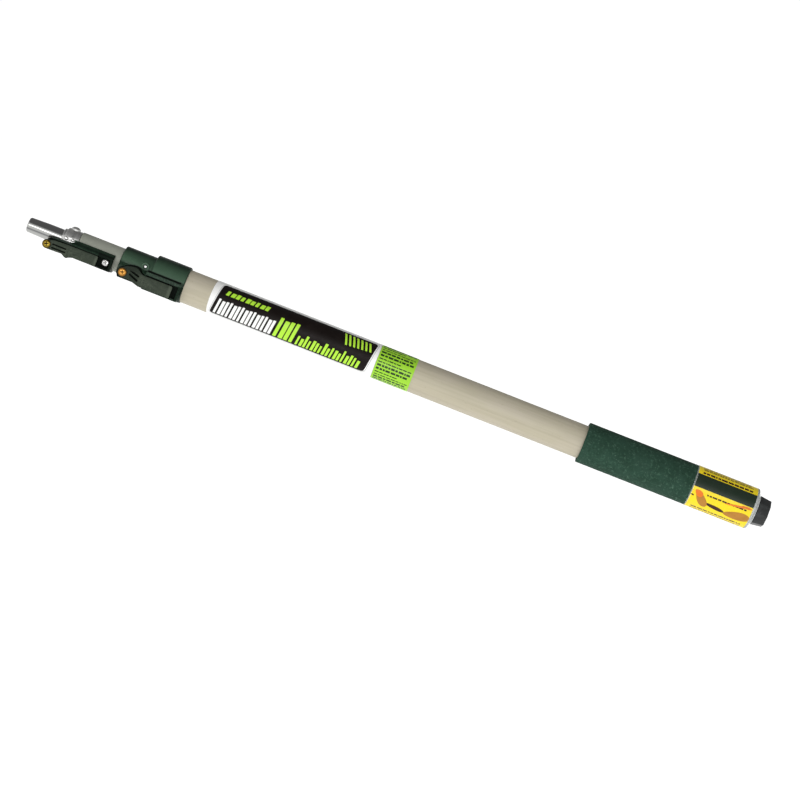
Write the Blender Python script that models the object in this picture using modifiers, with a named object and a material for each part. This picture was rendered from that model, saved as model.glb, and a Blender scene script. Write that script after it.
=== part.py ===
"""Roller extension pole with two lever clamps, closed to its shortest length.

Metres, +Z up. The pole's axis is the X axis. The origin is the centre of the flat end
of the butt plug, and the tip points along -X. Both levers face -Y.
A station is a distance from the free end of the tip shaft, measured towards the butt.
"""

import math

import bmesh
import bpy
from mathutils import Matrix

MM = 0.001

# Driving dimensions
TOTAL_LENGTH = 736 * MM
GAP = 0.3 * MM
OUTER_TUBE_RADIUS = 15.9 * MM
OUTER_TUBE_BORE = 13.5 * MM
OUTER_TUBE_START = 127.3 * MM
OUTER_TUBE_END = 718.5 * MM
INNER_TUBE_RADIUS = 11.9 * MM
INNER_TUBE_BORE = 10.4 * MM
INNER_TUBE_START = 51.3 * MM
INNER_TUBE_END = 684 * MM
GRIP_START = 553 * MM
GRIP_END = 722 * MM
GRIP_RADIUS = 19.5 * MM
GRIP_LABEL_START = 661.5 * MM
GRIP_LABEL_END = 720 * MM
MAIN_LABEL_START = 186 * MM
MAIN_LABEL_END = 347.6 * MM
INSTRUCTION_LABEL_END = 384 * MM
LABEL_THICKNESS = 0.2 * MM
LABEL_GAP = 0.12 * MM
SHAFT_TAIL_RADIUS = 7.7 * MM
SOCKET_PINS = [(39.2, 1.1, 1.2), (45.6, 1.6, 0.9)]  # station, z and radius in millimetres
BUTTON_STATION = 43.3 * MM
BUTTON_RADIUS = 4.3 * MM
BUTTON_TOP = 14.1 * MM
BUTTON_WELL_RADIUS = 5.2 * MM
LOCK_START = 93.4 * MM
LOCK_STEP = 124.5 * MM
LOCK_END = 157.4 * MM
LOCK_FRONT_RADIUS = 14.9 * MM
LOCK_REAR_RADIUS = 17.8 * MM
LOCK_BOTTOM_Z = -16.8 * MM
LOCK_PIVOT = (99.9 * MM, -8.6 * MM)  # station and z
BUSH_PIN = (117.6 * MM, 3.6 * MM)
TIP_LOCK_END = 88 * MM
TIP_PIVOT = (25.2 * MM, -9.8 * MM)
BODY_SCREW = (81.6 * MM, -6.7 * MM)
RIVET_STATION = 672 * MM
SCREW_RADIUS = 1.9 * MM
INSERT_RADIUS = 2.9 * MM
INSERT_FRONT = -14.5 * MM
INSERT_BACK = -12.8 * MM
BORE_CLEARANCE = INNER_TUBE_RADIUS + GAP

ROUND = 56
SMALL_ROUND = 28
PIN_ROUND = 16


def start_empty():
    for old in list(bpy.data.objects):
        bpy.data.objects.remove(old, do_unlink=True)


def new_collection(name):
    collection = bpy.data.collections.new(name)
    bpy.context.scene.collection.children.link(collection)
    return collection


start_empty()
PARTS = new_collection("roller_extension_pole")
CUTTERS = new_collection("cutters")


def x_at(station):
    """World X of a station."""
    return station - TOTAL_LENGTH


def material(name, colour, roughness, metallic=0.0):
    made = bpy.data.materials.new(name)
    made.use_nodes = True
    shader = made.node_tree.nodes["Principled BSDF"]
    shader.inputs["Base Color"].default_value = (*colour, 1.0)
    shader.inputs["Roughness"].default_value = roughness
    shader.inputs["Metallic"].default_value = metallic
    return made


FIBREGLASS = material("fibreglass", (0.62, 0.58, 0.50), 0.45)
TUBE_PAINT = material("tube_paint", (0.46, 0.43, 0.38), 0.40)
GREEN_PLASTIC = material("green_plastic", (0.035, 0.10, 0.065), 0.45)
LEVER_PLASTIC = material("lever_plastic", (0.09, 0.12, 0.09), 0.50)
GRIP_FOAM = material("grip_foam", (0.02, 0.065, 0.04), 0.85)
BLACK_PLASTIC = material("black_plastic", (0.015, 0.015, 0.015), 0.50)
BUSH_PLASTIC = material("bush_plastic", (0.75, 0.75, 0.72), 0.40)
LABEL_WHITE = material("label_white", (0.85, 0.85, 0.83), 0.30)
LABEL_LIME = material("label_lime", (0.40, 0.80, 0.04), 0.30)
LABEL_YELLOW = material("label_yellow", (0.90, 0.75, 0.03), 0.30)
STEEL = material("steel", (0.62, 0.62, 0.64), 0.22, 1.0)
CAST_METAL = material("cast_metal", (0.50, 0.50, 0.50), 0.38, 1.0)
BRASS = material("brass", (0.60, 0.42, 0.12), 0.30, 1.0)


def place(obj, collection):
    for old in list(obj.users_collection):
        old.objects.unlink(obj)
    collection.objects.link(obj)


def finish(obj, name, surface):
    """Names a piece, gives it its material and puts it among the parts."""
    obj.name = name
    obj.data.name = name
    obj.data.materials.clear()
    obj.data.materials.append(surface)
    obj.hide_render = False
    obj.display_type = "TEXTURED"
    place(obj, PARTS)
    return obj


def hide(obj, name):
    """Makes an object a construction shape, which isn't part of the pole."""
    obj.name = name
    obj.hide_render = True
    obj.display_type = "WIRE"
    place(obj, CUTTERS)
    return obj


def set_origin(obj, point):
    """Moves an object's origin without moving its shape."""
    shift = Matrix.Translation(point)
    obj.data.transform(shift.inverted() @ obj.matrix_world)
    obj.matrix_world = shift


def bake(obj, name):
    """Turns a curve, or a mesh with modifiers, into one plain welded mesh."""
    bpy.context.view_layer.update()
    evaluated = obj.evaluated_get(bpy.context.evaluated_depsgraph_get())
    mesh = bpy.data.meshes.new_from_object(evaluated)
    plain = bpy.data.objects.new(name, mesh)
    plain.matrix_world = obj.matrix_world
    bpy.context.scene.collection.objects.link(plain)
    cage = bmesh.new()
    cage.from_mesh(mesh)
    bmesh.ops.remove_doubles(cage, verts=cage.verts, dist=1e-6)
    bmesh.ops.recalc_face_normals(cage, faces=cage.faces)
    cage.to_mesh(mesh)
    cage.free()
    bpy.data.objects.remove(obj, do_unlink=True)
    return plain


def turned(name, profile, segments=ROUND, axis="X", centre=(0, 0, 0), hollow=False):
    """A turned shape. The profile lists (place along the axis, radius) pairs from the
    far end back to the near end along the outside, then back again inside if hollow."""
    mesh = bpy.data.meshes.new(name)
    points = [(radius, 0, along) for along, radius in profile]
    edges = [(i, i + 1) for i in range(len(points) - 1)]
    if hollow:
        edges.append((len(points) - 1, 0))
    mesh.from_pydata(points, edges, [])
    obj = bpy.data.objects.new(name, mesh)
    obj.location = centre
    if axis == "X":
        obj.rotation_euler = (0, math.radians(90), 0)
    elif axis == "Y":
        obj.rotation_euler = (math.radians(-90), 0, 0)
    bpy.context.scene.collection.objects.link(obj)
    screw = obj.modifiers.new("turn", "SCREW")
    screw.steps = segments
    screw.render_steps = segments
    screw.use_merge_vertices = True
    screw.merge_threshold = 1e-6
    screw.use_smooth_shade = True
    return obj


def along_x(stations):
    """Station and radius pairs as world X and radius pairs."""
    return [(x_at(station), radius) for station, radius in stations]


def ring(name, start, end, inner, outer):
    """A straight sleeve round the pole's axis."""
    profile = [(end, outer), (start, outer), (start, inner), (end, inner)]
    return turned(name, along_x(profile), hollow=True)


def rod(name, axis, centre, radius, low, high, segments=SMALL_ROUND):
    """A plain cylinder along Y or Z, from low to high on that axis, or along X."""
    turn = {"X": (0, math.radians(90), 0), "Y": (math.radians(90), 0, 0), "Z": (0, 0, 0)}
    place_on = "XYZ".index(axis)
    middle = list(centre)
    middle[place_on] = (low + high) / 2
    bpy.ops.mesh.primitive_cylinder_add(
        vertices=segments, radius=radius, depth=high - low,
        location=middle, rotation=turn[axis])
    return hide(bpy.context.object, name)


def block(name, low, high):
    """A box between two corners, each given as (station, y, z)."""
    corners = [(x_at(low[0]), *low[1:]), (x_at(high[0]), *high[1:])]
    middle = [(a + b) / 2 for a, b in zip(*corners)]
    size = [b - a for a, b in zip(*corners)]
    bpy.ops.mesh.primitive_cube_add(size=1, location=middle)
    obj = bpy.context.object
    obj.data.transform(Matrix.Diagonal((*size, 1)))
    return hide(obj, name)


def arc(centre, radius, start, end, steps):
    """Points on an arc, its angles in degrees."""
    angles = [start + (end - start) * i / steps for i in range(steps + 1)]
    return [(centre[0] + radius * math.cos(math.radians(a)),
             centre[1] + radius * math.sin(math.radians(a))) for a in angles]


def plate(name, outline, low, high, plane="XZ"):
    """A flat outline given thickness. An XZ outline lists (station, z) and is thick
    along Y, an XY outline lists (station, y) and is thick along Z, and a YZ outline
    lists (y, z) and runs along X between two stations."""
    curve = bpy.data.curves.new(name, "CURVE")
    curve.dimensions = "2D"
    curve.fill_mode = "BOTH"
    curve.extrude = (high - low) / 2
    spline = curve.splines.new("POLY")
    spline.points.add(len(outline) - 1)
    for point, (a, b) in zip(spline.points, outline):
        point.co = (a if plane == "YZ" else x_at(a), b, 0, 1)
    spline.use_cyclic_u = True
    obj = bpy.data.objects.new(name, curve)
    middle = (low + high) / 2
    if plane == "XZ":
        upright = Matrix.Rotation(math.pi / 2, 4, "X")
        obj.matrix_world = Matrix.Translation((0, middle, 0)) @ upright
    elif plane == "XY":
        obj.matrix_world = Matrix.Translation((0, 0, middle))
    else:
        facing = Matrix(((0, 0, 1, 0), (1, 0, 0, 0), (0, 1, 0, 0), (0, 0, 0, 1)))
        obj.matrix_world = Matrix.Translation((x_at(middle), 0, 0)) @ facing
    bpy.context.scene.collection.objects.link(obj)
    return hide(bake(obj, name), name)


def combine(obj, other, operation):
    step = obj.modifiers.new(other.name, "BOOLEAN")
    step.operation = operation
    step.object = other
    step.solver = "EXACT"


def join(obj, *others):
    for other in others:
        combine(obj, other, "UNION")


def cut(obj, *others):
    for other in others:
        combine(obj, other, "DIFFERENCE")


def shaped(points):
    """An outline given in millimetres, as metres."""
    return [(a * MM, b * MM) for a, b in points]


# Outer pole ------------------------------------------------------------------

def make_outer_tube():
    tube = ring("outer_tube", OUTER_TUBE_START, OUTER_TUBE_END, OUTER_TUBE_BORE,
                OUTER_TUBE_RADIUS)
    finish(tube, "outer_tube", FIBREGLASS)


def make_label(name, start, end, inner, surface):
    label = ring(name, start, end, inner, inner + LABEL_THICKNESS)
    finish(label, name, surface)


def make_labels():
    tube_label = OUTER_TUBE_RADIUS + LABEL_GAP
    make_label("main_label", MAIN_LABEL_START, MAIN_LABEL_END, tube_label, LABEL_WHITE)
    make_label("instruction_label", MAIN_LABEL_END + GAP, INSTRUCTION_LABEL_END,
               tube_label, LABEL_LIME)
    make_label("grip_label", GRIP_LABEL_START, GRIP_LABEL_END, GRIP_RADIUS + LABEL_GAP,
               LABEL_YELLOW)


def make_grip():
    """A closed-end sleeve: its end wall covers the plug's flange."""
    rounding = 1.6 * MM
    bore = OUTER_TUBE_RADIUS + GAP
    wall = 1.5 * MM
    hole = 13.8 * MM
    outside = [(GRIP_END, GRIP_RADIUS - rounding)]
    outside += [(GRIP_END - 0.3 * rounding, GRIP_RADIUS - 0.3 * rounding)]
    outside += [(GRIP_END - rounding, GRIP_RADIUS)]
    outside += [(GRIP_START + rounding, GRIP_RADIUS)]
    outside += [(GRIP_START + 0.3 * rounding, GRIP_RADIUS - 0.3 * rounding)]
    outside += [(GRIP_START, GRIP_RADIUS - rounding)]
    inside = [(GRIP_START, bore), (GRIP_END - wall, bore), (GRIP_END - wall, hole)]
    grip = turned("grip_sleeve", along_x(outside + inside + [(GRIP_END, hole)]), hollow=True)
    finish(grip, "grip_sleeve", GRIP_FOAM)


def make_butt_plug():
    """Spigot, flange and neck turned in one, with an eight-sided tapered end."""
    neck_start = GRIP_END - 1.8 * MM
    cap_start = 725 * MM
    neck = 13.35 * MM
    cap_radius = 14.4 * MM
    end_radius = 12.9 * MM
    spigot = OUTER_TUBE_BORE - GAP
    profile = [(cap_start + 0.5 * MM, 0), (cap_start + 0.5 * MM, neck - 0.6 * MM)]
    profile += [(cap_start - 0.5 * MM, neck), (neck_start, neck), (neck_start, 15.5 * MM)]
    profile += [(OUTER_TUBE_END + GAP, 15.5 * MM), (OUTER_TUBE_END + GAP, spigot)]
    profile += [(697 * MM, spigot), (696 * MM, spigot - MM), (696 * MM, 0)]
    plug = turned("butt_plug", along_x(profile))
    corner_turn = math.radians(8)
    bpy.ops.mesh.primitive_cone_add(
        vertices=8, radius1=cap_radius, radius2=end_radius, depth=TOTAL_LENGTH - cap_start,
        location=(x_at((TOTAL_LENGTH + cap_start) / 2), 0, 0),
        rotation=(0, math.radians(90), 0))
    cap = hide(bpy.context.object, "plug_cap")
    cap.data.transform(Matrix.Rotation(corner_turn, 4, "Z"))
    join(plug, cap)
    finish(plug, "butt_plug", BLACK_PLASTIC)


# Pole clamp ------------------------------------------------------------------

LOCK_LEVER_TOP = [(102, -1.9), (106, -0.8), (110.5, -0.2), (113, -0.7), (115.2, -2.2),
                  (117.6, -3.9), (119.5, -4.5), (147.2, -4.5), (148.3, -5.4)]
LOCK_LEVER_BOTTOM = [(148.3, -15.0), (147.4, -15.9), (118, -15.9), (111, -13.9),
                     (106.4, -13.25)]


def lock_lever_outline():
    hub = arc((99.9, -8.6), 4.7, 270, 125, 12)
    return shaped(hub + LOCK_LEVER_TOP + LOCK_LEVER_BOTTOM)


def lock_pocket_outline(last, top):
    """The space that the lever lies in, open at the bottom."""
    hub = arc((99.9, -8.6), 5.4, 180, 120, 6)
    hump = [(100.8, -1.4), (105.4, 0.8), (110.6, 1.6), (114.1, 1.0), (116.3, -1.0)]
    return shaped([(94.5, -30)] + hub + hump + [(117.8, top), (last, top), (last, -30)])


def make_lock_body():
    """A stepped sleeve with a flat-bottomed block on its near side for the lever."""
    lip = 0.9 * MM
    profile = [(LOCK_END, 0), (LOCK_END, LOCK_REAR_RADIUS - lip)]
    profile += [(LOCK_END - lip, LOCK_REAR_RADIUS), (LOCK_STEP + 0.5 * MM, LOCK_REAR_RADIUS)]
    profile += [(LOCK_STEP, LOCK_REAR_RADIUS - 0.5 * MM), (LOCK_STEP, LOCK_FRONT_RADIUS)]
    profile += [(LOCK_START + lip, LOCK_FRONT_RADIUS), (LOCK_START, LOCK_FRONT_RADIUS - lip)]
    profile += [(LOCK_START, 0)]
    body = turned("lock_body", along_x(profile))
    rear = shaped([(-20.5, 0.1), (-20.5, -15.2), (-18.0, -17.7), (5, -17.7), (7, -10), (0, 0.1)])
    front = shaped([(-14.4, 0.9), (-17.9, -3.2), (-17.9, -13.2), (-16.7, -14.4), (2, -14.4),
                    (2, 0.9)])
    rear_block = plate("lock_rear_block", rear, 121 * MM, 155.6 * MM, "YZ")
    front_block = plate("lock_front_block", front, LOCK_START + 0.4 * MM, 123 * MM, "YZ")
    join(body, rear_block, front_block)
    front_pocket = plate("lock_front_pocket", lock_pocket_outline(119.5, -3.0), -30 * MM,
                         -14.6 * MM)
    rear_pocket = block("lock_rear_pocket", (119.2 * MM, -30 * MM, -30 * MM),
                        (149.4 * MM, -17.2 * MM, -3.0 * MM))
    recess = block("lock_finger_recess", (148 * MM, -30 * MM, -15.0 * MM),
                   (153.6 * MM, -17.25 * MM, -2.95 * MM))
    below = block("lock_flat", (80 * MM, -40 * MM, -30 * MM), (170 * MM, 40 * MM, LOCK_BOTTOM_Z))
    corner = plate("lock_corner", shaped([(90, -8.6), (93.6, -8.6), (94.6, -12), (97.6, -17.5),
                                          (97.6, -30), (90, -30)]), -40 * MM, 40 * MM)
    cut(body, below, corner, front_pocket, rear_pocket, recess)
    ear_centre = (x_at(BUSH_PIN[0]), 0, BUSH_PIN[1])
    ear = rod("lock_ear", "Y", ear_centre, 3.6 * MM, -17 * MM, -12 * MM, PIN_ROUND + 4)
    join(body, ear)
    bore = [(160, 0), (160, 16.2), (127, 16.2), (127, 13.5), (106.7, 13.5), (106.7, 12.2),
            (90, 12.2), (90, 0)]
    bore = hide(turned("lock_bore", along_x(shaped(bore))), "lock_bore")
    slit = block("lock_slit", (124.9 * MM, -30 * MM, 0.2 * MM),
                 (155.9 * MM, -16.9 * MM, 1.8 * MM))
    pin_well = rod("lock_pin_well", "Y", ear_centre, 2.3 * MM, -20 * MM, -15.4 * MM, PIN_ROUND)
    pin_hole = rod("lock_pin_hole", "Y", ear_centre, 1.7 * MM, -16 * MM, -10 * MM, PIN_ROUND)
    wells = pivot_wells("lock_wells", LOCK_PIVOT, 4.1 * MM, -4 * MM, -11.9 * MM)
    cut(body, bore, slit, pin_well, pin_hole, wells)
    finish(body, "lock_body", GREEN_PLASTIC)


def pivot_wells(name, pivot, shoe_radius, shoe_low, shoe_high):
    """The cutter for a clamp's insert, its screw's end and its brake shoe, in one."""
    profile = [(shoe_low, 0), (shoe_low, shoe_radius), (shoe_high, shoe_radius),
               (shoe_high, SCREW_RADIUS + GAP), (INSERT_BACK + GAP, SCREW_RADIUS + GAP),
               (INSERT_BACK + GAP, INSERT_RADIUS + GAP), (-16 * MM, INSERT_RADIUS + GAP),
               (-16 * MM, 0)]
    centre = (x_at(pivot[0]), 0, pivot[1])
    return hide(turned(name, profile, PIN_ROUND + 4, "Y", centre), name)


def make_insert(name, pivot):
    low, high = INSERT_FRONT, INSERT_BACK
    bore = SCREW_RADIUS + GAP
    profile = [(high, INSERT_RADIUS), (low, INSERT_RADIUS), (low, bore), (high, bore)]
    insert = turned(name, profile, PIN_ROUND, "Y", (x_at(pivot[0]), 0, pivot[1]), hollow=True)
    finish(insert, name, BRASS)


def make_lock_guide_bush():
    bush = ring("lock_guide_bush", 107 * MM, 126.7 * MM, BORE_CLEARANCE, 13.2 * MM)
    centre = (x_at(BUSH_PIN[0]), 0, BUSH_PIN[1])
    cut(bush, rod("bush_pin_hole", "Y", centre, 1.7 * MM, -16 * MM, -10 * MM, PIN_ROUND))
    finish(bush, "lock_guide_bush", BUSH_PLASTIC)


def make_lock_bush_pin():
    profile = [(-12.5, 0), (-12.5, 1.4), (-16.0, 1.4), (-16.4, 1.1), (-16.6, 0)]
    pin = turned("lock_bush_pin", shaped(profile), PIN_ROUND, "Y",
                 (x_at(BUSH_PIN[0]), 0, BUSH_PIN[1]))
    finish(pin, "lock_bush_pin", STEEL)


def make_lock_lever():
    """A plate that steps outwards from its hub, with two slanted slots and a lip."""
    lever = plate("lock_lever", lock_lever_outline(), -24 * MM, -12 * MM)
    side = shaped([(93, -18.3), (106, -18.3), (114.5, -20.9), (149, -20.9), (149, -17.5),
                   (119, -17.5), (110.5, -14.9), (93, -14.9)])
    combine(lever, plate("lock_lever_side", side, -20 * MM, 3 * MM, "XY"), "INTERSECT")
    for number, (low, high) in enumerate([(-3.8, -7.9), (-7.3, -12.1)]):
        slot = shaped([(106.2, low), (107.4, low), (116.2, high + 1.6), (116.2, high),
                       (115.0, high), (106.2, low - 1.6)])
        cut(lever, plate(f"lock_lever_slot_{number}", slot, -30 * MM, -17.6 * MM))
    hole = rod("lock_lever_hole", "Y", (x_at(LOCK_PIVOT[0]), 0, LOCK_PIVOT[1]), 2.2 * MM,
               -30 * MM, -10 * MM, PIN_ROUND)
    cut(lever, hole)
    finish(lever, "lock_lever", LEVER_PLASTIC)
    set_origin(lever, (x_at(LOCK_PIVOT[0]), 0, LOCK_PIVOT[1]))


def cross_recess(name, centre, arm, floor):
    """The cutter for a cross-head screw's recess, open towards -Y."""
    half = 0.42 * MM
    quarter = [(arm, -half), (arm, half), (half, half)]
    outline = []
    for turn in range(4):
        angle = math.radians(20 + 90 * turn)
        outline += [(centre[0] + a * math.cos(angle) - b * math.sin(angle),
                     centre[1] + a * math.sin(angle) + b * math.cos(angle))
                    for a, b in quarter]
    return plate(name, outline, floor - 3 * MM, floor)


def make_lever_screw(name, pivot, seat, end, head_radius):
    """A pan-head screw with a cross recess, pointing along +Y."""
    dome = [(seat - 1.1 * MM, head_radius), (seat - 1.6 * MM, 0.84 * head_radius)]
    dome += [(seat - 1.85 * MM, 0.5 * head_radius), (seat - 1.95 * MM, 0)]
    profile = [(end, 0), (end, SCREW_RADIUS - 0.4 * MM), (end - 0.5 * MM, SCREW_RADIUS)]
    profile += [(seat, SCREW_RADIUS), (seat, head_radius)] + dome
    centre = (x_at(pivot[0]), 0, pivot[1])
    screw = turned(name, profile, PIN_ROUND + 4, "Y", centre)
    cut(screw, cross_recess(name + "_recess", pivot, 0.55 * head_radius, seat - 0.9 * MM))
    finish(screw, name, BRASS)


def make_lock_brake_shoe():
    """A round plug whose inner end is hollowed to the inner tube."""
    pivot = (x_at(LOCK_PIVOT[0]), 0, LOCK_PIVOT[1])
    shoe = turned("lock_brake_shoe", shaped([(-4.3, 0), (-4.3, 3.8), (-11.6, 3.8), (-11.6, 0)]),
                  SMALL_ROUND, "Y", pivot)
    hollow = rod("shoe_hollow", "X", (0, 0, 0), BORE_CLEARANCE, x_at(90 * MM), x_at(110 * MM),
                 ROUND)
    cut(shoe, hollow)
    finish(shoe, "lock_brake_shoe", BUSH_PLASTIC)


# Inner pole ------------------------------------------------------------------

def make_inner_tube():
    tube = ring("inner_tube", INNER_TUBE_START, INNER_TUBE_END, INNER_TUBE_BORE,
                INNER_TUBE_RADIUS)
    screw_hole = rod("tube_screw_hole", "Y", (x_at(BODY_SCREW[0]), 0, BODY_SCREW[1]), 1.8 * MM,
                     -14 * MM, -5 * MM, PIN_ROUND)
    rivet_hole = rod("tube_rivet_hole", "Z", (x_at(RIVET_STATION), 0, 0), 2.1 * MM, 0, 14 * MM,
                     PIN_ROUND)
    cut(tube, screw_hole, rivet_hole)
    finish(tube, "inner_tube", TUBE_PAINT)


def make_inner_rear_bush():
    """A collar that slides in the outer tube, with a spigot in the inner tube."""
    profile = [(692, 12.5), (691.3, 13.1), (685, 13.1), (684.3, 12.5), (684.3, 10.1),
               (664, 10.1), (664, 8.1), (692, 8.1)]
    bush = turned("inner_rear_bush", along_x(shaped(profile)), hollow=True)
    rivet_hole = rod("bush_rivet_hole", "Z", (x_at(RIVET_STATION), 0, 0), 2.1 * MM, 0, 14 * MM,
                     PIN_ROUND)
    cut(bush, rivet_hole)
    finish(bush, "inner_rear_bush", BUSH_PLASTIC)
    rivet = turned("inner_bush_rivet", shaped([(12.6, 0), (12.5, 1.8), (12.2, 2.8), (12.0, 2.8),
                                               (12.0, 1.8), (7, 1.8), (7, 0)]),
                   PIN_ROUND, "Z", (x_at(RIVET_STATION), 0, 0))
    finish(rivet, "inner_bush_rivet", STEEL)


def make_tip_socket():
    """A metal coupler: flange, body and a spigot pressed into the inner tube."""
    profile = [(77.5, 9.6), (77, 10.1), (51, 10.1), (51, 10.9), (50.6, 11.3), (37.4, 11.3),
               (37.0, 10.9), (37.0, 9.4), (34.6, 9.4), (34.2, 9.0), (34.2, 8.0), (77.5, 8.0)]
    socket = turned("tip_socket", along_x(shaped(profile)), hollow=True)
    button_hole = rod("socket_button_hole", "Z", (x_at(BUTTON_STATION), 0, 0), 4.6 * MM,
                      4 * MM, 14 * MM)
    cut(socket, button_hole)
    for number, (station, z, radius) in enumerate(SOCKET_PINS):
        centre = (x_at(station * MM), 0, z * MM)
        cut(socket, rod(f"socket_pin_hole_{number}", "Y", centre, (radius + 0.3) * MM,
                        -14 * MM, -5 * MM, PIN_ROUND))
    finish(socket, "tip_socket", CAST_METAL)


def make_socket_pins():
    for name, (station, z, radius) in zip(("socket_pin_front", "socket_pin_rear"), SOCKET_PINS):
        head = 1.5 * radius
        profile = [(-6.2, 0), (-6.2, radius), (-11.6, radius), (-11.6, head),
                   (-12.0, 0.95 * head), (-12.5, 0.5 * head), (-12.6, 0)]
        pin = turned(name, shaped(profile), PIN_ROUND, "Y", (x_at(station * MM), 0, z * MM))
        finish(pin, name, STEEL)


def make_tip_shaft():
    """A tapered polished shaft; its tail sits in the socket and holds the button."""
    profile = [(70, 0), (70, 6.9), (69.2, 7.7), (20, 7.7), (1.0, 7.1), (0, 6.3), (0, 0)]
    shaft = turned("tip_shaft", along_x(shaped(profile)), 48)
    well = rod("shaft_button_well", "Z", (x_at(BUTTON_STATION), 0, 0), BUTTON_WELL_RADIUS,
               -2.5 * MM, 14 * MM)
    cut(shaft, well)
    for number, (station, z, radius) in enumerate(SOCKET_PINS):
        centre = (x_at(station * MM), 0, z * MM)
        cut(shaft, rod(f"shaft_pin_hole_{number}", "Y", centre, (radius + 0.3) * MM,
                       -14 * MM, -5.6 * MM, PIN_ROUND))
    finish(shaft, "tip_shaft", STEEL)


def make_release_button():
    """A domed button with a foot that keeps it in its well."""
    foot = 4.9 * MM
    top = BUTTON_TOP
    dome = [(top, 0), (top - 0.25 * MM, 0.4 * BUTTON_RADIUS),
            (top - 0.9 * MM, 0.75 * BUTTON_RADIUS), (top - 1.7 * MM, 0.94 * BUTTON_RADIUS),
            (top - 2.6 * MM, BUTTON_RADIUS)]
    low, ledge = 4.6 * MM, 5.9 * MM
    profile = dome + [(ledge, BUTTON_RADIUS), (ledge, foot), (low, foot), (low, 0)]
    centre = (x_at(BUTTON_STATION), 0, 0)
    button = turned("release_button", profile, SMALL_ROUND, "Z", centre)
    finish(button, "release_button", CAST_METAL)


def make_button_spring():
    """A compression spring between the well's floor and the button's foot."""
    turns, per_turn = 4, 11
    low, high, radius = -2.0 * MM, 4.1 * MM, 3.4 * MM
    curve = bpy.data.curves.new("button_spring", "CURVE")
    curve.dimensions = "3D"
    curve.bevel_depth = 0.28 * MM
    curve.bevel_resolution = 1
    curve.use_fill_caps = True
    spline = curve.splines.new("POLY")
    count = turns * per_turn
    spline.points.add(count)
    for i, point in enumerate(spline.points):
        angle = 2 * math.pi * i / per_turn
        point.co = (radius * math.cos(angle), radius * math.sin(angle),
                    low + (high - low) * i / count, 1)
    spring = bpy.data.objects.new("button_spring", curve)
    spring.location = (x_at(BUTTON_STATION), 0, 0)
    bpy.context.scene.collection.objects.link(spring)
    finish(spring, "button_spring", STEEL)


# Tip clamp -------------------------------------------------------------------

def make_tip_lock_body():
    """A saddle under the inner tube with a rail, a tongue beside the shaft and a
    finger recess that holds the fixing screw."""
    under = arc((0, 0), 14.0, -72, -10, 10)
    section = shaped([(-10.5, 2.8), (-13.6, 2.8), (-18.0, -0.9), (-18.0, -12.7), (-17.0, -13.7),
                      (3, -13.7)] + under + [(11, -2.4)])
    body = plate("tip_lock_body", section, 47.6 * MM, TIP_LOCK_END, "YZ")
    tongue = shaped(arc((25.2, -9.8), 4.0, 250, 115, 12) + [(24.6, -4.4), (27.3, -2.7),
                    (36.5, -1.4), (44, -1.2), (50, 1.0), (50, -13.6), (27, -13.6)])
    join(body, plate("tip_tongue", tongue, -14.7 * MM, -8.9 * MM))
    bore = rod("tip_lock_bore", "X", (0, 0, 0), BORE_CLEARANCE, x_at(33.6 * MM), x_at(92 * MM),
               ROUND)
    pocket = block("tip_lever_pocket", (36 * MM, -30 * MM, -30 * MM),
                   (75.2 * MM, -14.9 * MM, -2.7 * MM))
    recess = block("tip_finger_recess", (74 * MM, -30 * MM, -12.1 * MM),
                   (86 * MM, -13.7 * MM, -2.75 * MM))
    rail_front = block("tip_rail_front", (46 * MM, -30 * MM, 0.2 * MM),
                       (49.2 * MM, -12.5 * MM, 5 * MM))
    rail_front.data.transform(Matrix.Rotation(math.radians(-25), 4, "Y"))
    end_slope = block("tip_end_slope", (88.3 * MM, -30 * MM, -30 * MM),
                      (95 * MM, -5 * MM, 10 * MM))
    end_slope.data.transform(Matrix.Rotation(math.radians(8), 4, "Y"))
    screw_hole = rod("tip_screw_hole", "Y", (x_at(BODY_SCREW[0]), 0, BODY_SCREW[1]), 1.8 * MM,
                     -16 * MM, -5 * MM, PIN_ROUND)
    wells = pivot_wells("tip_wells", TIP_PIVOT, 3.0 * MM, -6 * MM, -11.2 * MM)
    cut(body, bore, pocket, recess, rail_front, end_slope, screw_hole, wells)
    finish(body, "tip_lock_body", GREEN_PLASTIC)


def make_tip_lock_lever():
    """A flat lever with two slots beside its hub and a thumb bump under its pad."""
    top = [(26.5, -5.6), (31, -4.5), (44, -3.8), (72.8, -3.7), (73.8, -4.6)]
    bottom = [(73.8, -12.4), (73.0, -13.3), (52, -13.5), (48.5, -14.6), (46.2, -15.9),
              (44.6, -15.6), (41, -13.6), (34, -13.9)]
    outline = shaped(arc((25.2, -9.8), 4.3, 262, 98, 14) + top + bottom)
    lever = plate("tip_lock_lever", outline, -18.3 * MM, -15.2 * MM)
    for number, z in enumerate((-8.2, -11.5)):
        slot = block(f"tip_lever_slot_{number}", (30.2 * MM, -30 * MM, (z - 0.75) * MM),
                     (44 * MM, -16.8 * MM, (z + 0.75) * MM))
        cut(lever, slot)
    hole = rod("tip_lever_hole", "Y", (x_at(TIP_PIVOT[0]), 0, TIP_PIVOT[1]), 2.2 * MM,
               -30 * MM, -10 * MM, PIN_ROUND)
    cut(lever, hole)
    finish(lever, "tip_lock_lever", LEVER_PLASTIC)
    set_origin(lever, (x_at(TIP_PIVOT[0]), 0, TIP_PIVOT[1]))


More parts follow.
